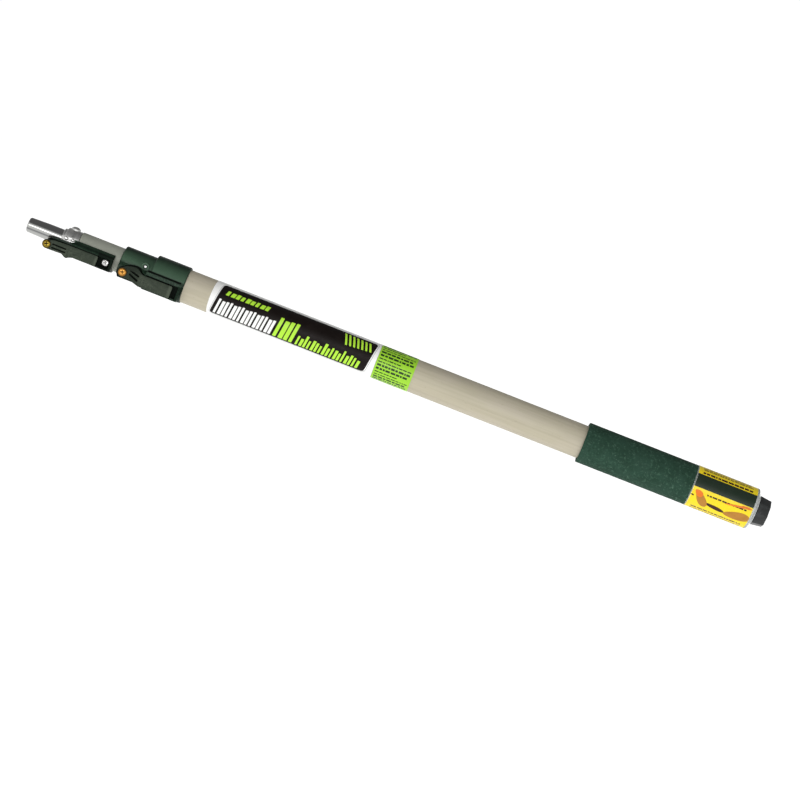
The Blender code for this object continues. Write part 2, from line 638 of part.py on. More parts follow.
def make_tip_body_screw():
    """The pan-head screw that fastens the tip clamp to the inner tube."""
    seat = -14.0 * MM
    profile = [(-8.0 * MM, 0), (-8.6 * MM, 1.5 * MM), (seat, 1.5 * MM), (seat, 3.6 * MM),
               (seat - 0.9 * MM, 3.6 * MM), (seat - 1.6 * MM, 2.8 * MM),
               (seat - 1.9 * MM, 1.4 * MM), (seat - 2.0 * MM, 0)]
    screw = turned("tip_body_screw", profile, PIN_ROUND + 4, "Y",
                   (x_at(BODY_SCREW[0]), 0, BODY_SCREW[1]))
    cut(screw, cross_recess("body_screw_recess", BODY_SCREW, 1.9 * MM, seat - 1.0 * MM))
    finish(screw, "tip_body_screw", STEEL)


def make_tip_brake_shoe():
    """A pad between the tongue and the shaft, on a stem that the screw pushes."""
    pad = shaped([(22.6, -13.0), (21.9, -11.5), (21.9, -7.0), (24.4, -4.2), (31, -3.2),
                  (31, -13.0)])
    shoe = plate("tip_brake_shoe", pad, -8.6 * MM, -4.4 * MM)
    stem = rod("tip_shoe_stem", "Y", (x_at(TIP_PIVOT[0]), 0, TIP_PIVOT[1]), 2.7 * MM,
               -10.8 * MM, -7 * MM, PIN_ROUND + 4)
    hollow = rod("tip_shoe_hollow", "X", (0, 0, 0), SHAFT_TAIL_RADIUS + GAP, x_at(15 * MM),
                 x_at(40 * MM), 48)
    join(shoe, stem)
    cut(shoe, hollow)
    finish(shoe, "tip_brake_shoe", BUSH_PLASTIC)


make_outer_tube()
make_labels()
make_grip()
make_butt_plug()
make_lock_body()
make_insert("lock_insert", LOCK_PIVOT)
make_lock_guide_bush()
make_lock_bush_pin()
make_lock_lever()
make_lever_screw("lock_screw", LOCK_PIVOT, -18.6 * MM, -12.0 * MM, 4.0 * MM)
make_lock_brake_shoe()
make_inner_tube()
make_inner_rear_bush()
make_tip_socket()
make_socket_pins()
make_tip_shaft()
make_release_button()
make_button_spring()
make_tip_lock_body()
make_insert("tip_lock_insert", TIP_PIVOT)
make_tip_lock_lever()
make_lever_screw("tip_lock_screw", TIP_PIVOT, -18.6 * MM, -11.2 * MM, 3.85 * MM)
make_tip_body_screw()
make_tip_brake_shoe()
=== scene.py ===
import math
import random

import bmesh
import bpy
from mathutils import Matrix, Vector


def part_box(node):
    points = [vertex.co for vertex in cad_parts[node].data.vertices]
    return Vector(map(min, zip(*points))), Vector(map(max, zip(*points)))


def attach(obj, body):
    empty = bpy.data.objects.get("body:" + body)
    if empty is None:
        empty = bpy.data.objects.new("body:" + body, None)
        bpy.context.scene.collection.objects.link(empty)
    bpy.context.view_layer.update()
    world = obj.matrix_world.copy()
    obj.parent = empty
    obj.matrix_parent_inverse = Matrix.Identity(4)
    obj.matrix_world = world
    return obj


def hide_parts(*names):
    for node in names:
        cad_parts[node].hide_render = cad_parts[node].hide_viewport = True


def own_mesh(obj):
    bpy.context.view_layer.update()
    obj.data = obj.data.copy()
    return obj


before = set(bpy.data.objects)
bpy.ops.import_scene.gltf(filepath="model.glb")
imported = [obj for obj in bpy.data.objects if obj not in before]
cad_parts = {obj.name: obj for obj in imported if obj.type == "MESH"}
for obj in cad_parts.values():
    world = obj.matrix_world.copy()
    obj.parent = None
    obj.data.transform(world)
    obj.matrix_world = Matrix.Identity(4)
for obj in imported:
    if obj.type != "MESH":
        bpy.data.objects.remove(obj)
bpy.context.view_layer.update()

# Looks of the roller extension pole. X runs along the pole with the tip at -X, Z is up
# and the levers and the labels' fronts face -Y.

MM = 0.001


# The frame's own places --------------------------------------------------------------

def span(node, axis=0):
    """The lowest and highest value of a CAD node along one axis."""
    low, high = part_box(node)
    return low[axis], high[axis]


TIP_X = span("tip_shaft")[0]
TUBE_START, TUBE_END = span("outer_tube")
TUBE_RADIUS = span("outer_tube", 2)[1]
INNER_START, INNER_END = span("inner_tube")
INNER_RADIUS = span("inner_tube", 2)[1]
GRIP_START, GRIP_END = span("grip_sleeve")
GRIP_RADIUS = span("grip_sleeve", 2)[1]
LABEL_START, LABEL_END = span("main_label")
LABEL_RADIUS = span("main_label", 2)[1]
NOTE_START, NOTE_END = span("instruction_label")
BAND_START, BAND_END = span("grip_label")
BAND_RADIUS = span("grip_label", 2)[1]

# Sizes the frame doesn't give, as in the CAD model
TUBE_WALL = 2.4 * MM
INNER_WALL = 1.5 * MM
GRIP_BORE = TUBE_RADIUS + 0.3 * MM
GRIP_END_WALL = 1.5 * MM
GRIP_END_HOLE = 13.8 * MM
SHAFT_FRONT_RADIUS = 7.1 * MM
SHAFT_TAPER_LENGTH = 20 * MM
SPRING_TURNS = 4
SPRING_WIRE = 0.26 * MM

# The labels' layers, each lifted a little off the one below
WRAP_THICKNESS = 0.2 * MM
INK_LIFT = 0.01 * MM
INK_THICKNESS = 0.02 * MM
THIN_INK = 0.01 * MM
FILM_THICKNESS = 0.03 * MM
SKIRT_THICKNESS = 0.12 * MM


def at(millimetres):
    """The X coordinate of a place so many millimetres from the tip."""
    return TIP_X + millimetres * MM


# X, Z and head radius of the screws that face -Y
SCREWS = {"lock_screw": (at(99.9), -8.6 * MM, 4.0 * MM),
          "tip_lock_screw": (at(25.2), -9.8 * MM, 3.85 * MM),
          "tip_body_screw": (at(81.6), -6.7 * MM, 3.6 * MM)}


# Materials -----------------------------------------------------------------------------

def srgb(red, green, blue):
    """A display colour, 0 to 255, as the linear colour a shader takes."""
    values = [c / 255 for c in (red, green, blue)]
    linear = [c / 12.92 if c <= 0.04045 else ((c + 0.055) / 1.055) ** 2.4 for c in values]
    return (*linear, 1.0)


class Surface:
    """A Principled material and short ways to add nodes to it."""

    # The colour sockets of a Mix node, which share their names with other types
    COLOUR_A, COLOUR_B, COLOUR_OUT = 6, 7, 2

    def __init__(self, name, colour, roughness, metallic=0.0, **sockets):
        self.material = bpy.data.materials.new(name)
        self.material.use_nodes = True
        self.tree = self.material.node_tree
        self.shader = self.tree.nodes["Principled BSDF"]
        self.colour = colour
        self.set("Base Color", colour)
        self.set("Roughness", roughness)
        self.set("Metallic", metallic)
        for socket, value in sockets.items():
            self.set(socket.replace("_", " "), value)

    def set(self, socket, value):
        self.shader.inputs[socket].default_value = value

    def node(self, kind, **values):
        """A new node. Each value is one of its properties or, failing that, a socket."""
        made = self.tree.nodes.new(kind)
        for key, value in values.items():
            if hasattr(made, key):
                setattr(made, key, value)
            else:
                made.inputs[key.replace("_", " ")].default_value = value
        return made

    def link(self, source, target):
        self.tree.links.new(source, target)

    def place(self, scale=(1, 1, 1)):
        """Object coordinates in metres, stretched."""
        where = self.node("ShaderNodeTexCoord")
        stretch = self.node("ShaderNodeMapping")
        stretch.inputs["Scale"].default_value = scale
        self.link(where.outputs["Object"], stretch.inputs["Vector"])
        return stretch.outputs["Vector"]

    def noise(self, scale, stretch=(1, 1, 1), detail=4.0, distortion=0.0):
        noise = self.node("ShaderNodeTexNoise", Scale=scale, Detail=detail,
                          Roughness=0.55, Distortion=distortion)
        self.link(self.place(stretch), noise.inputs["Vector"])
        return noise.outputs["Fac"]

    def cells(self, scale):
        cells = self.node("ShaderNodeTexVoronoi", feature="F1", Scale=scale)
        self.link(self.place(), cells.inputs["Vector"])
        return cells.outputs["Distance"]

    def remap(self, value, low, high, to_low, to_high):
        """Moves a value's range low to high onto another range, and holds it there."""
        ramp = self.node("ShaderNodeMapRange")
        for socket, number in zip(("From Min", "From Max", "To Min", "To Max"),
                                  (low, high, to_low, to_high)):
            ramp.inputs[socket].default_value = number
        self.link(value, ramp.inputs["Value"])
        return ramp.outputs["Result"]

    def tint(self, factor, colour):
        """Mixes another colour over the base colour where factor is high."""
        mix = self.node("ShaderNodeMix", data_type="RGBA")
        base = self.shader.inputs["Base Color"]
        if base.is_linked:
            self.link(base.links[0].from_socket, mix.inputs["A"])
        else:
            mix.inputs[self.COLOUR_A].default_value = self.colour
        mix.inputs[self.COLOUR_B].default_value = colour
        self.link(factor, mix.inputs[0])
        self.link(mix.outputs[self.COLOUR_OUT], base)

    def within(self, low, high, soft=0.2 * MM):
        """One inside a box given by two corners; None leaves a side open."""
        where = self.node("ShaderNodeTexCoord")
        axes = self.node("ShaderNodeSeparateXYZ")
        self.link(where.outputs["Object"], axes.inputs[0])
        result = None
        for axis, bottom, top in zip("XYZ", low, high):
            for limit, sign in ((bottom, 1), (top, -1)):
                if limit is None:
                    continue
                step = self.remap(axes.outputs[axis], limit, limit + sign * soft, 0, 1)
                result = step if result is None else self.times(result, step)
        return result

    def times(self, first, second):
        """The product of two values, where the second may be a plain number."""
        product = self.node("ShaderNodeMath", operation="MULTIPLY")
        for socket, value in zip(product.inputs, (first, second)):
            if isinstance(value, float):
                socket.default_value = value
            else:
                self.link(value, socket)
        return product.outputs[0]

    def rough(self, factor):
        self.link(factor, self.shader.inputs["Roughness"])

    def dull(self, inside, level):
        """Moves the roughness to a level where inside is high."""
        rough = self.shader.inputs["Roughness"]
        blend = self.node("ShaderNodeMapRange")
        self.link(inside, blend.inputs["Value"])
        self.link(rough.links[0].from_socket, blend.inputs["To Min"])
        blend.inputs["To Max"].default_value = level
        self.link(blend.outputs["Result"], rough)

    def bump(self, value, distance, strength=1.0):
        """Adds a height map, in metres, over any earlier one."""
        bump = self.node("ShaderNodeBump", Strength=strength, Distance=distance)
        self.link(value, bump.inputs["Height"])
        normal = self.shader.inputs["Normal"]
        if normal.is_linked:
            self.link(normal.links[0].from_socket, bump.inputs["Normal"])
        self.link(bump.outputs["Normal"], normal)


def worn(surface, edge_colour):
    """Rubs a lighter colour onto the convex edges, broken up by noise."""
    geometry = surface.node("ShaderNodeNewGeometry")
    edges = surface.remap(geometry.outputs["Pointiness"], 0.53, 0.62, 0.0, 0.8)
    spots = surface.remap(surface.noise(900), 0.42, 0.62, 0.0, 1.0)
    surface.tint(surface.times(edges, spots), edge_colour)


def painted_pocket_shade(surface, boxes):
    """Paints shade into pockets and slots as a near-black tint and dulls their roughness there.
    Each box is (low corner, high corner, strength)."""
    for low, high, strength in boxes:
        inside = surface.within(low, high)
        uneven = surface.remap(surface.noise(350), 0.3, 0.7, 0.9 * strength, strength)
        # painted shade: a near-black tint where the pockets, slots and clamp ends lie in shadow
        surface.tint(surface.times(inside, uneven), srgb(5, 9, 6))
        surface.dull(inside, 0.95)
    return surface.material


def make_fibreglass():
    """Pultruded tube: long faint streaks and a thin clear coat with fine scuffs."""
    made = Surface("fibreglass", srgb(178, 171, 150), 0.46, Specular_IOR_Level=0.3)
    streaks = made.noise(420, (0.03, 1, 1), 3)
    made.tint(made.remap(streaks, 0.40, 0.70, 0.0, 0.55), srgb(162, 155, 135))
    clouds = made.noise(45, (0.4, 1, 1), 3)
    made.tint(made.remap(clouds, 0.45, 0.75, 0.0, 0.5), srgb(184, 175, 163))
    specks = made.remap(made.noise(700, (0.4, 1, 1), 2), 0.66, 0.74, 0.0, 0.35)
    made.tint(specks, srgb(140, 133, 117))
    made.rough(made.remap(made.noise(160, (0.2, 1, 1)), 0.3, 0.7, 0.38, 0.56))
    made.bump(streaks, 0.00003)
    made.bump(made.noise(2600, (0.25, 1, 1)), 0.000006)
    return made.material


def make_tube_paint():
    """Grey-beige paint on metal, rubbed lengthwise by the clamp."""
    made = Surface("tube_paint", srgb(150, 153, 142), 0.38, 0.1, Specular_IOR_Level=0.3)
    made.tint(made.remap(made.noise(60), 0.4, 0.7, 0, 0.4), srgb(132, 136, 124))
    paler_mask = made.noise(240, (0.06, 1, 1), 5)
    made.tint(made.remap(paler_mask, 0.62, 0.78, 0, 0.35), srgb(172, 174, 164))
    made.rough(made.remap(paler_mask, 0.3, 0.7, 0.32, 0.48))
    made.bump(made.noise(3000), 0.000006)
    return made.material


def make_moulded(name, colour, pale, roughness, gloss=0.16):
    """Spark-textured moulded plastic with rubbed edges, as a Surface."""
    made = Surface(name, colour, roughness, Specular_IOR_Level=gloss)
    made.tint(made.remap(made.noise(120), 0.42, 0.72, 0, 0.35), pale)
    made.tint(made.remap(made.noise(420, detail=6), 0.55, 0.75, 0, 0.4), pale)
    worn(made, pale)
    made.rough(made.remap(made.noise(300), 0.3, 0.7, roughness - 0.07, roughness + 0.1))
    made.bump(made.cells(3800), 0.00003, 0.6)
    made.bump(made.noise(1500), 0.00002)
    return made


def make_clamp_plastic(name, boxes):
    """Dark green plastic with a painted highlight, paler where the sleeve's side faces -Y above
    its block, and painted shade in the given boxes.
    """
    made = make_moulded(name, srgb(14, 32, 21), srgb(44, 66, 50), 0.36, 0.15)
    geometry = made.node("ShaderNodeNewGeometry")
    facing = made.node("ShaderNodeSeparateXYZ")
    made.link(geometry.outputs["Normal"], facing.inputs[0])
    # painted highlight: faces turned towards -Y, and so towards the front light, get a lighter
    # tint above the block
    painted_highlight = made.remap(facing.outputs["Y"], -0.5, -0.97, 0, 0.68)
    sleeve = made.within((None, None, 0.2 * MM), (None, None, None), 2.4 * MM)
    made.tint(made.times(painted_highlight, sleeve), srgb(72, 98, 78))
    return painted_pocket_shade(made, boxes)


def make_lever_plastic(name, slots, lip, hub_shade=()):
    """Lever plastic with painted shade in its slots and a paler end, lip being where it starts.
    Each box for the hub is a stretch near the screw with painted shade, with its strength."""
    made = make_moulded(name, srgb(41, 50, 39), srgb(70, 78, 64), 0.50)
    # paler towards the lever's end
    paler_mask = made.within((lip, None, None), (None, None, None), 2 * MM)
    made.tint(made.times(paler_mask, 0.5), srgb(86, 94, 80))
    for low, high, strength in hub_shade:
        # painted shade: a darker green over the hub near the screw
        made.tint(made.times(made.within(low, high, 2 * MM), strength), srgb(14, 26, 15))
    return painted_pocket_shade(made, slots)


def make_brass(name, colour, screw):
    """Brass screw with mottled tarnish, darker towards its rim."""
    x, z, radius = SCREWS[screw]
    made = Surface(name, colour, 0.26, 1.0)
    made.tint(made.remap(made.noise(170, detail=6), 0.46, 0.68, 0, 0.6), srgb(120, 82, 30))
    where = made.node("ShaderNodeTexCoord")
    away = made.node("ShaderNodeVectorMath", operation="DISTANCE")
    level = made.node("ShaderNodeVectorMath", operation="MULTIPLY")
    level.inputs[1].default_value = (1, 0, 1)
    made.link(where.outputs["Object"], level.inputs[0])
    made.link(level.outputs["Vector"], away.inputs[0])
    away.inputs[1].default_value = (x, 0, z)
    # darker towards the head's rim
    rim = made.remap(away.outputs["Value"], 0.62 * radius, radius, 0, 0.85)
    made.tint(rim, srgb(70, 42, 14))
    made.rough(made.remap(made.noise(1500), 0.3, 0.7, 0.18, 0.36))
    made.bump(made.noise(900), 0.00003)
    return made.material


def make_foam():
    """Closed-cell foam: soft sheen, small pores and a mottled skin."""
    made = Surface("grip_foam", srgb(39, 66, 53), 0.80, Specular_IOR_Level=0.15)
    made.tint(made.remap(made.noise(60, detail=6), 0.42, 0.64, 0, 0.85), srgb(30, 56, 43))
    made.tint(made.remap(made.noise(420, detail=5), 0.54, 0.70, 0, 0.6), srgb(64, 95, 78))
    made.tint(made.remap(made.noise(330, detail=5), 0.60, 0.74, 0, 0.6), srgb(24, 47, 35))
    scuffs = made.remap(made.noise(230, (1, 0.25, 1), 3, distortion=2.5), 0.62, 0.70, 0, 0.6)
    made.tint(scuffs, srgb(84, 113, 97))
    nicks = made.remap(made.noise(300, (0.4, 1, 1.4), 2, distortion=3.0), 0.64, 0.70, 0, 0.7)
    made.tint(nicks, srgb(20, 40, 30))
    pores = made.remap(made.cells(1500), 0.05, 0.40, 0.0, 1.0)
    made.tint(made.remap(pores, 0.0, 0.35, 0.5, 0.0), srgb(18, 38, 28))
    made.rough(made.remap(made.noise(200), 0.3, 0.7, 0.70, 0.90))
    made.bump(pores, 0.00008, 0.8)
    made.bump(made.noise(500), 0.00012)
    return made.material


def make_metal(name, colour, roughness, lines, depth, spots=0.0, reflection_bands=()):
    """Turned or cast metal. lines stretches the grain round or along the piece and depth is its
    height. Each band is a painted dark reflection streak along it: (low z, high z, strength)."""
    made = Surface(name, colour, roughness, 1.0)
    grain = made.noise(1800, lines, 5)
    made.rough(made.remap(grain, 0.3, 0.7, roughness * 0.7, roughness * 1.4))
    made.bump(grain, depth)
    if spots:
        dull = made.noise(170, detail=6)
        tone = [c * 0.5 for c in colour[:3]]
        made.tint(made.remap(dull, 0.46, 0.68, 0, spots), (*tone, 1.0))
    # painted reflection: darker streaks at given heights, standing in for the dark parts of the
    # surround that the steel reflects
    for low, high, strength in reflection_bands:
        reflection_streak = made.within((None, None, low), (None, None, high), 1.2 * MM)
        made.tint(made.times(reflection_streak, strength), srgb(88, 88, 92))
    return made.material


def make_print(name, colour, roughness=0.34, shade=0.9, gloss=0.3):
    """Ink or film of a glossy label, clouded by its own colour times shade."""
    made = Surface(name, colour, roughness, Specular_IOR_Level=gloss)
    tone = [c * shade for c in colour[:3]]
    made.tint(made.remap(made.noise(130), 0.42, 0.7, 0, 0.5), (*tone, 1.0))
    made.rough(made.remap(made.noise(260), 0.3, 0.7, roughness - 0.08, roughness + 0.12))
    made.bump(made.noise(210, detail=2), 0.00004, 0.6)
    return made.material


def make_film(name, alpha, colour):
    """Clear shrink film, faintly milky and a little rippled."""
    made = Surface(name, colour, 0.12)
    made.set("Alpha", alpha)
    made.set("Specular IOR Level", 0.8)
    made.tint(made.remap(made.noise(160), 0.45, 0.7, 0, 0.5), srgb(250, 252, 250))
    made.rough(made.remap(made.noise(90), 0.35, 0.7, 0.08, 0.22))
    made.bump(made.noise(120, (1, 0.5, 0.5), 3), 0.00012)
    return made.material


FIBREGLASS = make_fibreglass()
TUBE_PAINT = make_tube_paint()

# Boxes of (low corner, high corner, strength) where shade is painted onto the clamps and levers
POCKET_BACK = -12.5 * MM
CLAMP_SHADE_BOXES = [
    ((at(94), -14.8 * MM, -16.3 * MM), (at(121.0), -14.4 * MM, 1.6 * MM), 0.98),
    ((at(121.2), -19.9 * MM, -16.3 * MM), (at(154.4), POCKET_BACK, 1.9 * MM), 0.98),
    ((at(152.8), None, -16.0 * MM), (None, -15 * MM, -2.0 * MM), 0.5)]
TIP_SHADE_BOXES = [
    ((at(24), -17.4 * MM, -13.3 * MM), (at(86.6), POCKET_BACK, -2.9 * MM), 0.98),
    ((at(73.0), None, None), (None, -14 * MM, 0.5 * MM), 0.8),
    ((at(46.5), None, -2.6 * MM), (None, -13 * MM, 2.9 * MM), 0.35)]
CLAMP_LEVER_SLOT_SHADE = [
    ((at(104.5), -17.9 * MM, -15.0 * MM), (at(117.2), -14 * MM, -4.6 * MM), 0.95)]
TIP_LEVER_SLOT_SHADE = [
    ((at(29.5), -17.9 * MM, -13.2 * MM), (at(44.6), -14 * MM, -5.2 * MM), 0.95)]
CLAMP_LEVER_HUB_SHADE = [((None, None, None), (at(118), None, None), 0.35),
                   ((None, None, -5.6 * MM), (at(119), None, None), 0.6)]
CLAMP_LEVER_LIP = at(144.5)
TIP_LEVER_LIP = at(71)

CLAMP_GREEN = make_clamp_plastic("clamp_green_plastic", CLAMP_SHADE_BOXES)
TIP_GREEN = make_clamp_plastic("tip_green_plastic", TIP_SHADE_BOXES)
CLAMP_LEVER = make_lever_plastic("clamp_lever_plastic", CLAMP_LEVER_SLOT_SHADE, CLAMP_LEVER_LIP,
                                 CLAMP_LEVER_HUB_SHADE)
TIP_LEVER = make_lever_plastic("tip_lever_plastic", TIP_LEVER_SLOT_SHADE, TIP_LEVER_LIP)
BLACK = make_moulded("black_plastic", srgb(24, 27, 27), srgb(66, 70, 70), 0.34, 0.42).material
BUSH = make_moulded("bush_plastic", srgb(216, 214, 205), srgb(232, 230, 224), 0.42).material
FOAM = make_foam()
# painted reflections: two dark bands along the polished shaft
STEEL = make_metal("polished_steel", srgb(172, 173, 170), 0.15, (1, 0.04, 0.04), 0.000004,
                   reflection_bands=[(1.2 * MM, 9 * MM, 0.5), (-4.6 * MM, -2.0 * MM, 0.8)])
PLATED = make_metal("plated_steel", srgb(214, 214, 212), 0.24, (1, 1, 1), 0.00002, 0.4)
CAST = make_metal("cast_metal", srgb(196, 196, 194), 0.36, (1, 1, 1), 0.00008, 0.75)
BRASS = make_brass("brass", srgb(196, 140, 68), "lock_screw")
TIP_BRASS = make_brass("tip_brass", srgb(134, 118, 46), "tip_lock_screw")
INSERT_BRASS = make_metal("insert_brass", srgb(206, 164, 84), 0.24, (1, 1, 1), 0.000006, 0.5)
# painted shade: a near-black material for the sheets laid in the screws' cross recesses
SHADE_SHEET = make_moulded("shadow_sheet", srgb(18, 12, 6), srgb(40, 28, 14), 0.7, 0.05).material
WHITE_PRINT = make_print("print_white", srgb(236, 236, 234))
BLACK_PRINT = make_print("print_black", srgb(17, 11, 9), 0.42, 1.8, 0.12)
GREY_PRINT = make_print("print_grey", srgb(150, 152, 154))
LIME_PRINT = make_print("print_lime", srgb(172, 224, 58))
NOTE_PRINT = make_print("print_note", srgb(152, 208, 50))
INK_PRINT = make_print("print_ink", srgb(28, 56, 14), 0.4)
YELLOW_PRINT = make_print("print_yellow", srgb(238, 212, 28))
FOREST_PRINT = make_print("print_forest", srgb(28, 42, 30))
ORANGE_PRINT = make_print("print_orange", srgb(224, 116, 26))
TAN_PRINT = make_print("print_tan", srgb(176, 122, 44), shade=0.62)
UMBER_PRINT = make_print("print_umber", srgb(58, 30, 12))
FILM = make_film("clear_film", 0.12, srgb(240, 244, 242))
FILM_EDGE = make_film("film_edge", 0.38, srgb(214, 218, 216))


# Making pieces -------------------------------------------------------------------------

def piece_from(mesh, name, material, body, nodes=()):
    """Links a finished mesh as a piece that rides on a body."""
    obj = bpy.data.objects.new(name, mesh)
    bpy.context.scene.collection.objects.link(obj)
    mesh.name = name
    mesh.materials.clear()
    mesh.materials.append(material)
    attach(obj, body)
    if nodes:
        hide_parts(*nodes)
    return obj


def smooth(mesh, angle=32):
    """Smooth shading, with edges sharper than an angle in degrees left crisp."""
    mesh.shade_smooth()
    mesh.set_sharp_from_angle(angle=math.radians(angle))


def softened(profile, radius, closed, steps=4):
    """Rounds the corners of a turned profile with short parabolas."""
    made = []
    count = len(profile)
    for i, point in enumerate(profile):
        if not closed and i in (0, count - 1):
            made.append(point)
            continue
        here = Vector(point)
        before = Vector(profile[i - 1]) - here
        after = Vector(profile[(i + 1) % count]) - here
        reach = min(radius, 0.45 * before.length, 0.45 * after.length)
        start = here + before.normalized() * reach
        end = here + after.normalized() * reach
        for k in range(steps + 1):
            t = k / steps
            made.append(tuple((1 - t) ** 2 * start + 2 * t * (1 - t) * here + t * t * end))
    return made


def lathe(profile, segments=128, axis="X", centre=(0, 0, 0), rounding=0.3 * MM, closed=False,
          steps=4):
    """A turned mesh from (place along the axis, radius) pairs. The axis is X or Z."""
    outline = softened(profile, rounding, closed, steps) if rounding else profile
    cage = bmesh.new()
    rings = []
    for along, radius in outline:
        if radius < 1e-7:
            rings.append([cage.verts.new((along, 0, 0))])
            continue
        angles = [math.tau * k / segments for k in range(segments)]
        rings.append([cage.verts.new((along, radius * math.cos(a), radius * math.sin(a)))
                      for a in angles])
    pairs = list(zip(rings, rings[1:]))
    if closed:
        pairs.append((rings[-1], rings[0]))
    for first, second in pairs:
        for k in range(segments):
            after = (k + 1) % segments
            corners = [first[k % len(first)], first[after % len(first)],
                       second[after % len(second)], second[k % len(second)]]
            unique = list(dict.fromkeys(corners))
            if len(unique) > 2:
                cage.faces.new(unique)
    bmesh.ops.recalc_face_normals(cage, faces=cage.faces)
    if axis == "Z":
        cage.transform(Matrix.Rotation(-math.pi / 2, 4, "Y"))
    cage.transform(Matrix.Translation(centre))
    mesh = bpy.data.meshes.new("turned")
    cage.to_mesh(mesh)
    cage.free()
    smooth(mesh)
    return mesh


def refined(node, width, segments, angle=30):
    """A copy of a CAD node's mesh with its flat faces merged and its edges rounded where
    they turn by more than an angle in degrees."""
    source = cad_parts[node].data
    cage = bmesh.new()
    cage.from_mesh(source)
    bmesh.ops.remove_doubles(cage, verts=cage.verts, dist=2e-6)
    bmesh.ops.dissolve_limit(cage, angle_limit=math.radians(1), verts=cage.verts,
                             edges=cage.edges)
    mesh = bpy.data.meshes.new(node)
    cage.to_mesh(mesh)
    cage.free()
    holder = bpy.data.objects.new("holder", mesh)
    bpy.context.scene.collection.objects.link(holder)
    bevel = holder.modifiers.new("round", "BEVEL")
    bevel.width = width
    bevel.segments = segments
    bevel.limit_method = "ANGLE"
    bevel.angle_limit = math.radians(angle)
    bpy.context.view_layer.update()
    final = bpy.data.meshes.new_from_object(
        holder.evaluated_get(bpy.context.evaluated_depsgraph_get()))
    bpy.data.objects.remove(holder)
    smooth(final, 38)
    return final


def wrapped(outline, radius, thickness=INK_THICKNESS, hole=None):
    """A thin patch bent round the pole. The outline lists (x, arc length up from the
    side that faces -Y); hole is an inner outline with as many points."""
    step = 0.8 * MM
    cage = bmesh.new()
    outer = [cage.verts.new((x, s, 0)) for x, s in outline]
    if hole:
        inner = [cage.verts.new((x, s, 0)) for x, s in hole]
        for k in range(len(outer)):
            after = (k + 1) % len(outer)
            cage.faces.new((outer[k], outer[after], inner[after], inner[k]))
    else:
        cage.faces.new(outer)
    low = min(s for _, s in outline)
    high = max(s for _, s in outline)
    for k in range(1, int((high - low) / step) + 1):
        everything = list(cage.verts) + list(cage.edges) + list(cage.faces)
        bmesh.ops.bisect_plane(cage, geom=everything, dist=1e-7,
                               plane_co=(0, low + k * step, 0), plane_no=(0, 1, 0))
    below = bmesh.ops.extrude_face_region(cage, geom=list(cage.faces))
    for v in [v for v in below["geom"] if isinstance(v, bmesh.types.BMVert)]:
        v.co.z += thickness
    for v in cage.verts:
        angle = v.co.y / radius
        out = radius + v.co.z
        v.co = (v.co.x, -out * math.cos(angle), out * math.sin(angle))
    bmesh.ops.recalc_face_normals(cage, faces=cage.faces)
    mesh = bpy.data.meshes.new("patch")
    cage.to_mesh(mesh)
    cage.free()
    return mesh


def merged(meshes, name):
    """Joins patches into one mesh."""
    cage = bmesh.new()
    for mesh in meshes:
        cage.from_mesh(mesh)
        bpy.data.meshes.remove(mesh)
    made = bpy.data.meshes.new(name)
    cage.to_mesh(made)
    cage.free()
    smooth(made, 25)
    return made


def round_box(left, right, low, high, corner, lean=0.0):
    """A rounded four-sided outline whose sides lean by so much per unit of height."""
    steps = 5
    corners = [(right, low, -90), (right, high, 0), (left, high, 90), (left, low, 180)]
    points = []
    for x, s, start in corners:
        cx = x - corner if x == right else x + corner
        cy = s + corner if s == low else s - corner
        for k in range(steps + 1):
            angle = math.radians(start + 90 * k / steps)
            up = cy + corner * math.sin(angle)
            points.append((cx + corner * math.cos(angle) + lean * (up - low), up))
    return points


# Tubes, grip and end plug ----------------------------------------------------------------

def pipe(start, end, outer, inner, rounding):
    """A straight length of pipe."""
    profile = [(end, outer), (start, outer), (start, inner), (end, inner)]
    return lathe(profile, closed=True, rounding=rounding)


def make_tubes():
    outer = pipe(TUBE_START, TUBE_END, TUBE_RADIUS, TUBE_RADIUS - TUBE_WALL, 0.3 * MM)
    piece_from(outer, "outer_tube_wall", FIBREGLASS, "outer_pole",
               ["outer_tube"])
    inner = pipe(INNER_START, INNER_END, INNER_RADIUS, INNER_RADIUS - INNER_WALL, 0.3 * MM)
    piece_from(inner, "inner_tube_wall", TUBE_PAINT, "inner_pole",
               ["inner_tube"])


def make_grip():
    """A foam sleeve with soft ends and a slightly uneven skin, smooth under its label."""
    ripple, shrink = 0.10 * MM, 0.06 * MM
    stations = [GRIP_END + (GRIP_START - GRIP_END) * k / 80 for k in range(81)]
    outside = [(x, GRIP_RADIUS) for x in stations]
    floor = GRIP_END - GRIP_END_WALL
    profile = outside + [(GRIP_START, GRIP_BORE), (floor, GRIP_BORE), (floor, GRIP_END_HOLE),
                         (GRIP_END, GRIP_END_HOLE)]
    mesh = lathe(profile, 112, closed=True, rounding=1.4 * MM, steps=3)
    seeds = random.Random(5)
    waves = [(seeds.uniform(40, 160), seeds.uniform(0, 6.28), seeds.choice((1, 2, 3, 4)),
              seeds.uniform(0, 6.28)) for _ in range(9)]
    for v in mesh.vertices:
        radius = math.hypot(v.co.y, v.co.z)
        if radius > GRIP_RADIUS - 0.6 * MM and v.co.x < BAND_START - 2 * MM:
            angle = math.atan2(v.co.z, v.co.y)
            wave = sum(math.sin(a * v.co.x * 6 + b) * math.cos(n * angle + c)
                       for a, b, n, c in waves) / len(waves)
            scale = 1 + (ripple * wave - shrink) / radius
            v.co.y *= scale
            v.co.z *= scale
    piece_from(mesh, "grip_foam_sleeve", FOAM, "outer_pole", ["grip_sleeve"])


def make_butt_plug():
    """The plug's eight-sided end has blunt corners, so its edges round at 22 degrees."""
    mesh = refined("butt_plug", 0.7 * MM, 3, 22)
    piece_from(mesh, "butt_plug_body", BLACK, "outer_pole", ["butt_plug"])


